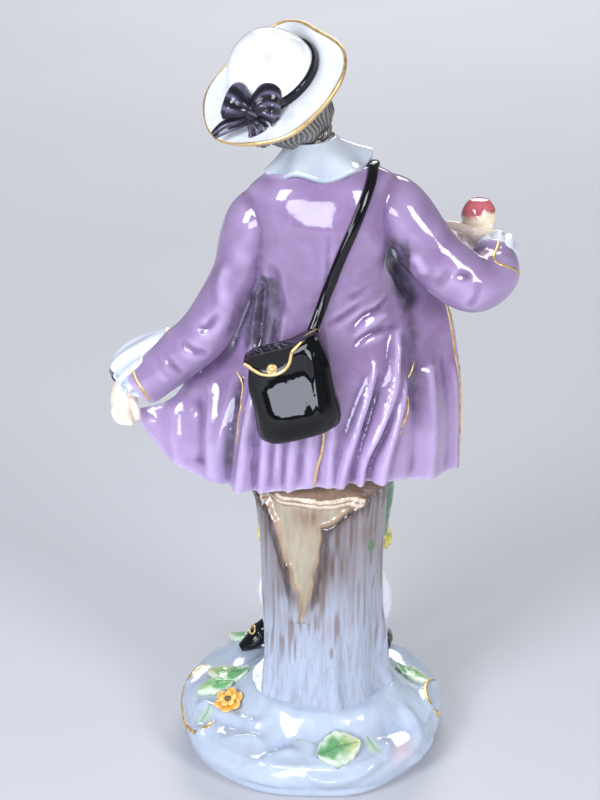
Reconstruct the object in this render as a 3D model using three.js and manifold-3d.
// A glazed porcelain figurine: a gentleman in a lilac coat who leans back on a tree stump, on a round mound base.
//
// It is modelled as a porcelain repairer puts it together. Every piece is pressed or cast in its own mould, and the
// pieces are luted with slip in the order in which they are listed here. Each one is trimmed to those before it and
// keeps a slip joint of SLIP_GAP.
//
// Millimetres, +Z up. The origin is the centre of the flat foot of the base. The figure faces +Y, so its back, the
// stump and the satchel are towards -Y and its right hand is towards +X.

import * as THREE from "three";
import { ParametricGeometry } from "three/addons/geometries/ParametricGeometry.js";
import { mergeVertices } from "three/addons/utils/BufferGeometryUtils.js";
import Module from "manifold-3d";

const wasm = await Module();
wasm.setup();

// ---------------------------------------------------------------- driving dimensions

const SLIP_GAP = 0.3; // joint left between two luted pieces
const FETTLE = [0.12, 0.06, 0.03, 0]; // how far a trimmed piece is rubbed smooth: the first that still seats

const FOOT_DROP = 3; // heights below are measured from the girth's own level; the foot lies this much lower
const BASE_RADIUS = 33.6; // widest girth of the mound
const FOOT_RADIUS = 31.2; // flat ring that the figurine rests on
const BASE_TOP = 11; // ground level at the middle of the mound
const VENT_RADIUS = 1.8; // firing vent through the base
const VENT = [6, -8]; // plan position of the vent, under the hollow stump

const STUMP_TOP = 71; // cut top of the stump, hidden under the coat
const WALL = 3.4; // wall of the slip-cast hollow pieces
const CLOTH = 1.7; // thickness of the modelled coat cloth

const HAT_CENTRE = [-8.5, 0, 166.8]; // middle of the brim
const HAT_AXIS = [-0.431, -0.439, 0.788]; // from the brim to the top of the crown
const HAT_ACROSS = [0.837, 0.131, 0.531]; // the brim's own sideways direction
const CROWN_RADIUS = 10.1;
const CROWN_HEIGHT = 11.6;
const CROWN_AT = [0.6, -2.2]; // where the crown stands on the brim, across and back

const HEAD_CENTRE = [-4.6, 3.2, 160.6];
const HEAD_AXIS = [-0.24, -0.17, 0.955]; // the head leans to its left and back

const SATCHEL_CENTRE = [-4.8, -15.8, 100.1];
const SATCHEL_TURN = 12.5; // degrees that the satchel hangs out of level
const SATCHEL_WIDE = 18.6;
const SATCHEL_TALL = 22.4;
const SATCHEL_DEEP = 6.4;

// ---------------------------------------------------------------- surfaces

const vec = (p) => new THREE.Vector3(...p);

// A smooth run through hand-set values, read at t from 0 to 1.
function run(points) {
  const curve = new THREE.CatmullRomCurve3(points.map(vec), false, "catmullrom");
  return (t) => curve.getPoint(t);
}

// A closed body from rings: ring(t, angle) gives the wall, and a pole at middle(t) closes each end.
function ringed(ring, middle, sides, steps) {
  const stacks = steps + 2;
  return new ParametricGeometry(
    (u, v, target) => {
      const row = Math.round(v * stacks);
      if (row === 0 || row === stacks) return target.copy(middle(row === 0 ? 0 : 1));
      return target.copy(ring((row - 1) / steps, (u % 1) * 2 * Math.PI));
    },
    sides,
    stacks,
  );
}

// A limb: an oval section carried along a smooth line. Each station is [x, y, z, wide, deep], with half sizes;
// "across" is the direction in which the section is wide.
function limb(stations, across, sides, steps) {
  const line = new THREE.CatmullRomCurve3(stations.map((s) => vec(s.slice(0, 3))), false, "catmullrom");
  const girth = run(stations.map(([, , , wide, deep]) => [wide, deep, 0]));
  const ring = (t, angle) => {
    const tangent = line.getTangent(t);
    const wideWay = vec(across).addScaledVector(tangent, -vec(across).dot(tangent)).normalize();
    const deepWay = tangent.clone().cross(wideWay);
    const size = girth(t);
    return line
      .getPoint(t)
      .addScaledVector(wideWay, size.x * Math.cos(angle))
      .addScaledVector(deepWay, size.y * Math.sin(angle));
  };
  return ringed(ring, (t) => line.getPoint(t), sides, steps);
}

// A column of level oval sections: each level is [z, x, y, wide, deep], with half sizes; "shape" scales the radius.
function column(levels, sides, steps, shape = () => 1) {
  const spine = run(levels.map(([z, x, y]) => [x, y, z]));
  const girth = run(levels.map(([, , , wide, deep]) => [wide, deep, 0]));
  const ring = (t, angle) => {
    const size = girth(t).multiplyScalar(shape(t, angle));
    return spine(t).add(new THREE.Vector3(size.x * Math.cos(angle), size.y * Math.sin(angle), 0));
  };
  return ringed(ring, spine, sides, steps);
}

// A sheet of even thickness: point(s, t) is its outer face, and the inner face lies "thick" towards "inside(s, t)".
function sheet(point, inside, thick, across, down) {
  const outer = [];
  const inner = [];
  for (let j = 0; j <= down; j++)
    for (let i = 0; i <= across; i++) {
      const p = point(i / across, j / down);
      const way = inside(i / across, j / down).sub(p).normalize();
      outer.push(p);
      inner.push(p.clone().addScaledVector(way, thick));
    }
  const at = (i, j, side) => side * outer.length + j * (across + 1) + i;
  const faces = [];
  const quad = (a, b, c, d) => faces.push(a, b, c, a, c, d);
  for (let j = 0; j < down; j++)
    for (let i = 0; i < across; i++) {
      quad(at(i, j, 0), at(i, j + 1, 0), at(i + 1, j + 1, 0), at(i + 1, j, 0));
      quad(at(i, j, 1), at(i + 1, j, 1), at(i + 1, j + 1, 1), at(i, j + 1, 1));
    }
  for (let i = 0; i < across; i++) {
    quad(at(i, 0, 0), at(i + 1, 0, 0), at(i + 1, 0, 1), at(i, 0, 1));
    quad(at(i, down, 0), at(i, down, 1), at(i + 1, down, 1), at(i + 1, down, 0));
  }
  for (let j = 0; j < down; j++) {
    quad(at(0, j, 0), at(0, j, 1), at(0, j + 1, 1), at(0, j + 1, 0));
    quad(at(across, j, 0), at(across, j + 1, 0), at(across, j + 1, 1), at(across, j, 1));
  }
  return new THREE.BufferGeometry().setFromPoints([...outer, ...inner]).setIndex(faces);
}

// An ellipsoid with half sizes [across, along, up], whose "up" leans to the axis given.
function ellipsoid(centre, half, axis = [0, 0, 1], wide = 12, tall = 7) {
  const turn = new THREE.Quaternion().setFromUnitVectors(vec([0, 0, 1]), vec(axis).normalize());
  return new THREE.SphereGeometry(1, wide, tall)
    .rotateX(Math.PI / 2)
    .scale(...half)
    .applyQuaternion(turn)
    .translate(...centre);
}

// A turned body in the hat's own frame: the profile is [radius, height over the brim] from axis to axis, or closed.
function hatLathe(profile, sides, shape = (a, b, h) => [a + CROWN_AT[0], b + CROWN_AT[1], h]) {
  const geometry = new THREE.LatheGeometry(profile.map(([r, h]) => new THREE.Vector2(r, h)), sides);
  const place = geometry.attributes.position;
  for (let i = 0; i < place.count; i++)
    place.setXYZ(i, ...hatPoint(...shape(place.getX(i), place.getZ(i), place.getY(i))).toArray());
  return geometry;
}

// A point given in the hat's frame: a across, b towards the back of the wearer, h up the crown.
function hatPoint(a, b, h) {
  const up = vec(HAT_AXIS).normalize();
  const across = vec(HAT_ACROSS).normalize();
  const back = across.clone().cross(up);
  return vec(HAT_CENTRE).addScaledVector(across, a).addScaledVector(back, b).addScaledVector(up, h);
}

// ---------------------------------------------------------------- solids

// A geometry as a manifold-3d solid: shared vertices merged, and triangles that closed up at a pole left out.
function solidOf(geometry) {
  const bare = new THREE.BufferGeometry().setAttribute("position", geometry.attributes.position);
  if (geometry.index) bare.setIndex(geometry.index);
  const merged = mergeVertices(bare, 1e-4);
  const index = [...merged.index.array];
  const kept = [];
  for (let i = 0; i < index.length; i += 3) {
    const [a, b, c] = index.slice(i, i + 3);
    if (a !== b && b !== c && a !== c) kept.push(a, b, c);
  }
  const solidFrom = (triangles) =>
    new wasm.Manifold(
      new wasm.Mesh({
        numProp: 3,
        vertProperties: new Float32Array(merged.attributes.position.array),
        triVerts: new Uint32Array(triangles),
      }),
    );
  const solid = solidFrom(kept);
  if (solid.volume() > 0) return solid;
  for (let i = 0; i < kept.length; i += 3) [kept[i + 1], kept[i + 2]] = [kept[i + 2], kept[i + 1]];
  return solidFrom(kept);
}

function geometryOf(solid) {
  const { numProp, vertProperties, triVerts, numVert } = solid.getMesh();
  const places = new Float32Array(numVert * 3);
  for (let i = 0; i < numVert; i++) places.set(vertProperties.subarray(i * numProp, i * numProp + 3), i * 3);
  return new THREE.BufferGeometry()
    .setAttribute("position", new THREE.BufferAttribute(places, 3))
    .setIndex(new THREE.BufferAttribute(triVerts, 1));
}

// The solid grown outwards by the slip joint, each vertex along its normal: it trims the pieces luted later.
function grown(solid) {
  const geometry = geometryOf(solid);
  geometry.computeVertexNormals();
  const { position, normal } = geometry.attributes;
  for (let i = 0; i < position.count; i++)
    position.setXYZ(
      i,
      position.getX(i) + SLIP_GAP * normal.getX(i),
      position.getY(i) + SLIP_GAP * normal.getY(i),
      position.getZ(i) + SLIP_GAP * normal.getZ(i),
    );
  return solidOf(geometry);
}

const largest = (solid) => solid.decompose().sort((a, b) => b.volume() - a.volume())[0];

// The piece rubbed smooth. Where its skin touches itself two vertices fall on one spot; each is then drawn a little
// towards its own neighbours, so that the skin stays open there.
function fettled(piece, rub) {
  let smooth = largest(rub > 0 ? piece.simplify(rub) : piece);
  for (let pass = 0; pass < 12; pass++) {
    const geometry = geometryOf(smooth);
    const { position } = geometry.attributes;
    const at = (i) => new THREE.Vector3().fromBufferAttribute(position, i);
    const spots = new Map();
    for (let i = 0; i < position.count; i++) {
      const spot = at(i).toArray().map((value) => value.toFixed(2)).join();
      spots.set(spot, [...(spots.get(spot) ?? []), i]);
    }
    const crowded = [...spots.values()].filter((vertices) => vertices.length > 1).flat();
    if (crowded.length === 0) return smooth;
    const corners = geometry.index.array;
    for (const vertex of crowded) {
      const mean = new THREE.Vector3();
      let count = 0;
      for (let i = 0; i < corners.length; i += 3) {
        const triangle = [corners[i], corners[i + 1], corners[i + 2]];
        if (!triangle.includes(vertex)) continue;
        for (const corner of triangle) mean.add(at(corner));
        count += 3;
      }
      position.setXYZ(vertex, ...at(vertex).lerp(mean.divideScalar(count), 0.2).toArray());
    }
    smooth = new wasm.Manifold(
      new wasm.Mesh({ numProp: 3, vertProperties: position.array, triVerts: geometry.index.array }),
    );
  }
  throw new Error("a piece still has two vertices on one spot");
}

// ---------------------------------------------------------------- glazes and enamels

const glaze = (color, roughness = 0.12, metalness = 0) =>
  new THREE.MeshStandardMaterial({ color, roughness, metalness });
const white = glaze(0xeef2f6);
const lilac = glaze(0xb9a2cf);
const black = glaze(0x17161a, 0.06);
const ribbonGrey = glaze(0x4a4660);
const hairGrey = glaze(0x8d8884, 0.2);
const flesh = glaze(0xf0dccb);
const green = glaze(0x5f9a63);
const breechesGreen = glaze(0x3f7350);
const yellow = glaze(0xe6d98a);
const orange = glaze(0xe8a64a);
const bark = glaze(0xbdb2ae, 0.18);
const red = glaze(0xb8404d);
const gilt = glaze(0xd9ae4f, 0.25, 1);

// ---------------------------------------------------------------- assembly

const figurine = new THREE.Group();
const placed = []; // the pieces already in place
const luted = []; // and their grown copies

// Lutes one piece: it is trimmed to every piece before it, hollowed if it is cast hollow, and added under its name.
function lute(name, material, geometry, hollow = []) {
  const lifted = (solid) => solid.translate([0, 0, FOOT_DROP]);
  const whole = lifted(geometry instanceof wasm.Manifold ? geometry : solidOf(geometry));
  let piece = whole;
  for (const other of luted) piece = piece.subtract(other);
  for (const core of hollow) piece = piece.subtract(lifted(solidOf(core)));
  const clash = (candidate) => Math.max(0, ...placed.map((other) => candidate.intersect(other).volume()));
  let seated = null;
  for (const rub of FETTLE) {
    seated = fettled(piece, rub);
    if (clash(seated) < 0.006) break;
  }
  placed.push(seated);
  luted.push(whole.add(grown(whole)));
  const mesh = new THREE.Mesh(geometryOf(seated), material);
  mesh.name = name;
  figurine.add(mesh);
}

// ---------------------------------------------------------------- base and stump

// Ground height of the mound over the plan point (x, y): a low dome with rocks under the two feet.
function ground(x, y) {
  const rock = (cx, cy, reach, height) => height * Math.exp(-((x - cx) ** 2 + (y - cy) ** 2) / reach ** 2);
  const dome = BASE_TOP - 4.6 * Math.min(1, Math.hypot(x, y) / BASE_RADIUS) ** 2.4;
  return dome + rock(-17, 17, 8, 2.2) + rock(19, 16, 8, 1.6) + rock(-25, -2, 7, 1.6) + rock(26, -6, 7, 1.2);
}

// The mound: a flat foot, a rounded side and the ground. v runs from the middle of the foot round to the top.
function mound() {
  const side = run([
    [FOOT_RADIUS, -FOOT_DROP, 0],
    [BASE_RADIUS - 0.8, -1, 0],
    [BASE_RADIUS, 2.6, 0],
    [BASE_RADIUS - 1.2, 6.2, 0],
  ]);
  const sideSteps = 4;
  const groundSteps = 5;
  const stacks = 1 + sideSteps + groundSteps;
  return new ParametricGeometry(
    (u, v, target) => {
      const row = Math.round(v * stacks);
      const angle = (u % 1) * 2 * Math.PI;
      const lobes = 1 + 0.012 * Math.sin(5 * angle + 0.6) + 0.008 * Math.sin(9 * angle);
      if (row === 0) return target.set(0, 0, -FOOT_DROP);
      if (row <= 1 + sideSteps) {
        const p = side((row - 1) / sideSteps);
        return target.set(p.x * lobes * Math.cos(angle), p.x * lobes * Math.sin(angle), p.y);
      }
      const r = (BASE_RADIUS - 1.2) * lobes * (1 - (row - 1 - sideSteps) / groundSteps);
      const [x, y] = [r * Math.cos(angle), r * Math.sin(angle)];
      return target.set(x, y, ground(x, y));
    },
    32,
    stacks,
  );
}

const vent = new THREE.CylinderGeometry(VENT_RADIUS, VENT_RADIUS, 40, 16).rotateX(Math.PI / 2).translate(...VENT, 0);
lute("base_mound", white, mound(), [vent]);

// Levels of the stump: [z, x, y, half width, half depth], from the spread roots to the cut top.
const STUMP = [
  [6, 3, -4, 18.6, 16.6],
  [13, 2.8, -4, 16, 13.8],
  [22, 2.5, -4, 14.7, 12.4],
  [38, 2.3, -4, 14.6, 11.8],
  [55, 2.2, -4, 14.9, 11.8],
  [STUMP_TOP, 2.2, -4, 15.8, 12.2],
];
const stumpHollow = STUMP.map(([z, x, y, wide, deep]) => [
  z === STUMP_TOP ? STUMP_TOP - WALL : z - 1,
  x,
  y,
  Math.min(wide, 15) - WALL,
  Math.min(deep, 12) - WALL,
]);
const rootFolds = (t, angle) => 1 + 0.05 * (1 - t) * Math.cos(5 * angle) + 0.02 * Math.cos(9 * angle + 1);
lute("tree_stump", bark, column(STUMP, 22, 8, rootFolds), [column(stumpHollow, 12, 4)]);

// ---------------------------------------------------------------- legs

const ACROSS = [1, 0, 0]; // sections of the legs and the body are wide sideways

lute(
  "shoe_left",
  black,
  limb(
    [[-9.2, 16.6, 17.6, 2.4, 2.2], [-12, 15.8, 16, 3, 2.8], [-15.6, 14.8, 13, 3, 2.2], [-18.6, 14, 11.2, 1.5, 1.1]],
    [0, 1, 0],
    10,
    6,
  ),
);
lute(
  "shoe_right",
  black,
  limb(
    [[16.4, 8.6, 13, 2.6, 2.4], [17, 12, 13.2, 3.1, 3], [18.4, 17, 12.4, 3.3, 2.4], [20, 22, 11.2, 1.7, 1.2]],
    ACROSS,
    10,
    6,
  ),
);
lute(
  "stocking_left",
  white,
  limb([[-10.2, 16, 18, 2.6, 2.8], [-9.8, 15.4, 22, 3.2, 3.4], [-9, 14.2, 29, 4.9, 5.1], [-7.6, 14.6, 38, 4.2, 4.4], [-7, 15, 45, 4.5, 4.6]], ACROSS, 12, 7),
);
lute(
  "stocking_right",
  white,
  limb([[17, 11.6, 15, 2.7, 3], [16.6, 11.6, 20, 3.4, 3.6], [15.7, 11.8, 28, 5.1, 5.3], [13.8, 12.4, 38, 4.2, 4.4], [13.6, 12.8, 45, 4.5, 4.6]], ACROSS, 12, 7),
);
lute(
  "breeches_left",
  breechesGreen,
  limb([[-7, 15, 44, 5, 5.1], [-7, 15, 49, 5.5, 5.6], [-6.4, 12.6, 62, 6.8, 6.8], [-4.6, 8.4, 76, 7.4, 7.4], [-3, 5, 86, 7, 7.2]], ACROSS, 14, 7),
);
lute(
  "breeches_right",
  breechesGreen,
  limb([[13.6, 12.8, 44, 5, 5.1], [13.9, 12.8, 49, 5.5, 5.6], [13.8, 11, 62, 6.9, 6.9], [11.6, 7.6, 76, 7.4, 7.4], [9.6, 5, 86, 7, 7.2]], ACROSS, 14, 7),
);
for (const [side, x, y] of [["left", -12.6, 16.6], ["right", 19, 14.2]]) {
  lute(`garter_bow_${side}`, yellow, ellipsoid([x, y, 46.4], [1.5, 2.2, 3.4], [0, 0, 1], 12, 8));
}

// ---------------------------------------------------------------- body and coat

// Levels of the body under the coat: [z, x, y, half width, half depth], from the hips to the neck.
const BODY = [
  [73.5, 3, 3.5, 12, 8.4],
  [84, 3, 3, 13, 9.6],
  [98, 3.2, 2.2, 12.6, 9.8],
  [114, 4, 1.4, 11.6, 8.9],
  [131, 3, 1, 12.6, 9.4],
  [141, 2.2, 1, 13.4, 8],
  [147, 1, 1.4, 8.6, 5.8],
  [150, 0, 1.6, 5.6, 5],
];
const bodyHollow = BODY.slice(0, 6).map(([z, x, y, wide, deep], i) => [
  i === 0 ? z - 1 : z - 2,
  x,
  y,
  wide - WALL,
  deep - WALL,
]);
lute("torso_waistcoat", white, column(BODY, 18, 10), [column(bodyHollow, 10, 4)]);

// The coat's control net. Columns run from the left front edge round the back to the right front edge; rows run
// from the neck down to the hem. The left front corner of the hem is drawn out to the figure's left hand.
const COAT = [
  // left edge, left side, left back, middle back, right back, right side, right edge
  [[-5.5, 6.8, 145.5], [-9.6, 1.5, 147], [-6.5, -5, 148.6], [1, -7, 149.2], [8.4, -5, 149.6], [12.6, 1.5, 149], [8.5, 7.4, 146.5]],
  [[-6.5, 10.4, 138], [-15.6, 1, 141], [-9.4, -8, 142.4], [2, -10, 143], [11.4, -8.4, 143.6], [20, 1, 143.4], [10, 11, 139]],
  [[-4.4, 12.6, 129], [-13.4, 2.8, 130], [-9.8, -8.2, 131], [3, -11.6, 132], [14, -9, 132], [18.8, 1, 131], [15, 11.6, 129]],
  [[-4.4, 12.4, 115], [-14, 2.2, 114], [-8.8, -6.8, 115], [3, -11, 115.4], [13.2, -8, 116], [20, -1, 116], [31, 7, 114]],
  [[-27, 4, 97.4], [-20.4, -0.6, 97], [-12.8, -8.4, 98], [2, -13, 98.6], [15, -10.6, 98], [24.4, -4, 98], [35.4, 6, 97.4]],
  [[-34.6, 4.4, 88.2], [-27.4, -1.6, 83.6], [-15.6, -9.4, 83.6], [2, -14.6, 85], [17, -11.4, 84.4], [28.4, -4.6, 84], [36.4, 5.4, 83]],
  [[-44.6, 6, 84.4], [-33.4, -0.4, 73.2], [-17.4, -9.4, 70.4], [1, -14.4, 73.6], [18, -11.4, 73.8], [28.6, -4.4, 71.2], [36, 4, 69.8]],
];

// Outer face of the coat at s across and t down, both from 0 to 1.
function coatPoint(s, t) {
  const downColumn = COAT[0].map((_, column) => run(COAT.map((row) => row[column]))(t).toArray());
  return run(downColumn)(s);
}

// The line inside the coat that its cloth is thickened towards.
function coatInside(s, t) {
  const p = coatPoint(s, t);
  const towardsFront = 14 + 10 * t;
  return new THREE.Vector3(p.x * 0.25 + 2, towardsFront, p.z + 6 * t);
}

function coatPanel(from, to, top, bottom, across, down) {
  const within = (a, b, share) => a + (b - a) * share;
  const outer = (s, t) => coatPoint(within(from, to, s), within(top, bottom, t));
  const inner = (s, t) => coatInside(within(from, to, s), within(top, bottom, t));
  return sheet(outer, inner, CLOTH, across, down);
}

const WAIST = 0.5; // where the skirts are luted to the coat body, down the coat
lute("coat_body", lilac, coatPanel(0, 1, 0.02, WAIST, 20, 7));
lute("coat_skirt_back", lilac, coatPanel(0.33, 0.68, WAIST, 1, 8, 5));
lute("coat_skirt_left", lilac, coatPanel(0, 0.33, WAIST, 1, 7, 6));
lute("coat_skirt_right", lilac, coatPanel(0.68, 1, WAIST, 1, 7, 5));

// ---------------------------------------------------------------- arms

const ALONG = [0, 1, 0]; // sections of the arms are wide along Y

lute(
  "sleeve_left",
  lilac,
  limb(
    [[-8, 0.5, 139, 6.2, 6], [-13.6, 0.8, 134, 7.4, 6.8], [-17.6, 0.6, 122, 6.6, 5.8], [-24.4, 0.4, 108.6, 6.3, 6.2], [-32.6, 2.2, 100.4, 5.8, 6], [-39.6, 4, 94, 5.8, 5.8]],
    ALONG,
    14,
    10,
  ),
);
lute(
  "sleeve_right",
  lilac,
  limb(
    [[12, 0.5, 140.4, 6, 6], [19, 0.6, 137.4, 7.4, 7.2], [27.4, -0.6, 127, 6.8, 7], [36.2, -1.4, 120.4, 6.8, 6.5], [41.8, 3.4, 121, 6, 6.2], [42.2, 9.2, 123.6, 5.2, 5]],
    [0.3, 0.6, 0.74],
    14,
    10,
  ),
);
lute(
  "ruffle_left",
  white,
  limb([[-38, 4, 97.4, 5.6, 6.2], [-42, 4.8, 94.6, 6, 6.6], [-45, 5.4, 92, 4.6, 5.2]], ALONG, 12, 4),
);
lute(
  "ruffle_right",
  white,
  limb([[42.4, 8.8, 123.8, 5.2, 5], [42, 11.4, 124.8, 5.2, 4.8], [41.2, 13.4, 125.2, 3.6, 3.2]], [0.3, 0.6, 0.74], 12, 4),
);
lute(
  "hand_left",
  flesh,
  limb([[-44.2, 5.2, 91.6, 2.2, 2.2], [-46.2, 5.6, 88.6, 2.6, 3.2], [-46, 6, 85, 2.7, 2.9], [-44.4, 6, 82.8, 1.8, 1.6]], ALONG, 10, 5),
);
lute(
  "hand_right",
  flesh,
  limb([[42, 12.6, 125, 2.2, 2], [40.6, 15, 126.4, 3, 2.4], [38.8, 16.6, 127.4, 3.2, 2.2], [36, 17.4, 128, 2, 1.6]], [0.3, 0.6, 0.74], 10, 5),
);
lute(
  "index_finger_right",
  flesh,
  limb([[37.6, 14.8, 127.8, 1.3, 1.2], [34.4, 15.6, 128.2, 1.1, 1.1], [31.6, 16, 128.8, 0.7, 0.7]], [0, 0, 1], 10, 5),
);
lute("fruit", red, ellipsoid([39.2, 16.2, 130.6], [3.3, 3.1, 3.3], [0, 0, 1], 14, 8));

// ---------------------------------------------------------------- head and hat

const neck = limb([[0, 1.6, 147, 4.8, 4.8], [-1.6, 2, 152, 4.4, 4.4], [-3.4, 2.6, 158, 4.8, 4.8]], ACROSS, 12, 3);
const skull = ellipsoid(HEAD_CENTRE, [7.2, 8.4, 10], HEAD_AXIS, 16, 10);
lute("head", flesh, solidOf(skull).add(solidOf(neck)));

// The collar: a flat shirt collar round the neck, open at the throat. It slopes from the neck onto the shoulders.
function collarPoint(s, t) {
  const angle = THREE.MathUtils.degToRad(125 + 290 * s);
  const lift = 0.7 * Math.cos(3 * angle) * t;
  const [wide, deep] = [5.4 + 6 * t, 5.2 + 4.6 * t];
  const x = 1.6 * t - 0.4 + wide * Math.cos(angle);
  return new THREE.Vector3(x, 1.2 + deep * Math.sin(angle), 152.6 - 5.2 * t + lift + 0.12 * x);
}
lute("collar", white, sheet(collarPoint, (s, t) => collarPoint(s, t).add(vec([0, 0, -9])), 1.6, 18, 3));

const HAIR_CENTRE = [-4.2, 1.2, 158.6];
lute("hair", hairGrey, ellipsoid(HAIR_CENTRE, [9.2, 8.8, 9.6], HEAD_AXIS, 16, 10));

const crownProfile = [0, 15, 30, 45, 60, 75, 90].map((degrees) => {
  const angle = THREE.MathUtils.degToRad(90 - degrees);
  return [Math.abs(CROWN_RADIUS * Math.cos(angle)), CROWN_HEIGHT * Math.sin(angle)];
});
lute("hat_crown", white, hatLathe([...crownProfile, [CROWN_RADIUS, -1.2], [0, -1.2]], 20));

// The brim is cut freely: its reach at every 20 degrees, from the wearer's left round by the back.
const REACH = [17.7, 17.9, 18.3, 15.5, 14.7, 15.6, 16.6, 15.7, 14.3, 15.3, 17.6, 18.3, 17.3, 16.7, 17.8, 17.2, 17.2, 17.9];
const brimReach = (angle) => {
  const place = ((angle / (2 * Math.PI) + 1.5) % 1) * REACH.length;
  const [low, share] = [Math.floor(place), place % 1];
  return REACH[low % REACH.length] * (1 - share) + REACH[(low + 1) % REACH.length] * share;
};

// It curls up towards its edge, most on the far right. The profile's radius of 1 to 2 runs from the crown to the edge.
function brimShape(a, b, h) {
  const [share, angle] = [Math.hypot(a, b) - 1, Math.atan2(b, a)];
  const from = 8.4;
  const r = from + (brimReach(angle) - from) * share;
  const curl = (0.8 + 0.9 * Math.cos(angle + 0.35)) * Math.max(share, 0) ** 2;
  return [r * Math.cos(angle), r * Math.sin(angle), h + curl];
}
const brimProfile = [
  [1, -0.3], [1.35, -0.3], [1.7, -0.2], [2, 0], [2, -0.9], [1.7, -1.3], [1.35, -1.5], [1, -1.5], [1, -0.3],
];
lute("hat_brim", white, hatLathe(brimProfile, 36, brimShape));

const bandProfile = [
  [CROWN_RADIUS - 0.6, 0.3], [CROWN_RADIUS + 0.9, 0.3], [CROWN_RADIUS + 0.8, 2.2], [CROWN_RADIUS - 0.6, 2.2],
  [CROWN_RADIUS - 0.6, 0.3],
];
lute("hat_band", black, hatLathe(bandProfile, 24));

// The bow sits on the band at the back: [name, a, b, h, half sizes] in the hat's frame.
const bowAxis = (a, b) => hatPoint(a, b, 0.6).sub(hatPoint(0, 0, 0)).toArray();
const BOW = [
  ["bow_knot", -8.6, 8, 2, [1.3, 1.3, 1.5]],
  ["bow_loop_left", -11.4, 5.6, 2.4, [1.9, 2.6, 1.5]],
  ["bow_loop_right", -5.2, 10.2, 2.4, [2.2, 2.7, 1.6]],
  ["bow_tail_left", -13.4, 8.4, 1.2, [2.6, 1.5, 1]],
  ["bow_tail_right", -8.4, 12.6, 1.2, [1.6, 2.6, 0.9]],
];
for (const [name, a, b, h, half] of BOW) {
  lute(name, ribbonGrey, ellipsoid(hatPoint(a, b, h).toArray(), half, bowAxis(a, b), 12, 8));
}

// ---------------------------------------------------------------- satchel

// A point in the satchel's frame: x across its face, z up its face and y out of the wearer's back.
function satchelPoint(x, y, z) {
  const angle = THREE.MathUtils.degToRad(SATCHEL_TURN);
  const [c, s] = [Math.cos(angle), Math.sin(angle)];
  return vec(SATCHEL_CENTRE).add(new THREE.Vector3(x * c - z * s * 0.75, -y, x * s * 1.15 + z * c));
}

// The rounded pouch: a box whose corners are softened by a superellipse.
function pouch() {
  const soft = (value, power) => Math.sign(value) * Math.abs(value) ** power;
  const ring = (t, angle) => {
    const tilt = (t - 0.5) * Math.PI * 0.96;
    const [level, reach] = [soft(Math.sin(tilt), 0.35), soft(Math.cos(tilt), 0.35)];
    const x = (SATCHEL_WIDE / 2) * reach * soft(Math.cos(angle), 0.45);
    const y = (SATCHEL_DEEP / 2) * reach * soft(Math.sin(angle), 0.6);
    return satchelPoint(x, y, (SATCHEL_TALL / 2) * level);
  };
  return ringed(ring, (t) => satchelPoint(0, 0, (t - 0.5) * SATCHEL_TALL), 20, 10);
}
lute("satchel_body", black, pouch());

// The flap: a short rounded tongue, left of the middle, from the top edge down the face.
const FLAP_AT = -3.2; // middle of the tongue, across the face
const FLAP_WIDE = 11.8;
function flapPoint(s, t) {
  const x = FLAP_AT + (s - 0.5) * FLAP_WIDE;
  const drop = 4.2 * Math.sin(Math.PI * s) ** 0.8 + 1.2;
  return satchelPoint(x, SATCHEL_DEEP / 2 + 0.95, SATCHEL_TALL / 2 - 0.4 - drop * t);
}
lute("satchel_flap", black, sheet(flapPoint, (s, t) => flapPoint(s, t).add(vec([0, 9, 0])), 0.8, 12, 5));
lute("satchel_button", gilt, ellipsoid(satchelPoint(-3.3, SATCHEL_DEEP / 2 + 1.2, 7.6).toArray(), [1.2, 0.7, 1.2], [0, 0, 1], 12, 8));

// The strap: from the top of the pouch over the right shoulder, down the chest and round the left hip.
const STRAP = [
  [-0.6, -14.2, 112.6], [2.2, -13.4, 120], [6.4, -12.4, 131], [10.6, -9.8, 141], [13.4, -4.6, 148], [13.6, 1.4, 149.8],
  [11.4, 8, 146.4], [8, 12.8, 139], [3, 14.4, 128], [-2, 14.6, 118], [-8, 11.6, 110],
];
lute("shoulder_strap", black, limb(STRAP.map((p) => [...p, 1.25, 0.6]), [1, 0.25, -0.35], 6, 26));

// ---------------------------------------------------------------- applied leaves and flowers

// Each leaf is a pointed lens pressed onto the mound: [name, x, y, half length, half width, heading in degrees].
const LEAVES = [
  ["leaf_left_upper", -21.6, -1, 5.2, 3.2, 150],
  ["leaf_left_lower", -24.4, -6.6, 4.6, 2.6, 190],
  ["leaf_near", 6.6, -27.4, 5.6, 4.2, 20],
  ["leaf_far_left", -18.6, 21.4, 4.4, 2.8, 140],
  ["leaf_right", 26, 4, 4.6, 2.8, 330],
];
for (const [name, x, y, long, wide, heading] of LEAVES) {
  const [c, s] = [Math.cos(THREE.MathUtils.degToRad(heading)), Math.sin(THREE.MathUtils.degToRad(heading))];
  const stations = [-1, -0.55, 0, 0.55, 1].map((share) => {
    const [px, py] = [x + share * long * c, y + share * long * s];
    const width = Math.max(0.5, wide * (1 - share ** 2) ** 0.7);
    return [px, py, ground(px, py) + 1.1, width, 1.3];
  });
  lute(name, green, limb(stations, [-s, c, 0], 10, 8));
}
lute("flower_left", orange, ellipsoid([-20.8, -10.8, ground(-20.8, -10.8) + 1.6], [3.1, 3.1, 2.6], [0, 0, 1], 14, 8));

export default figurine;
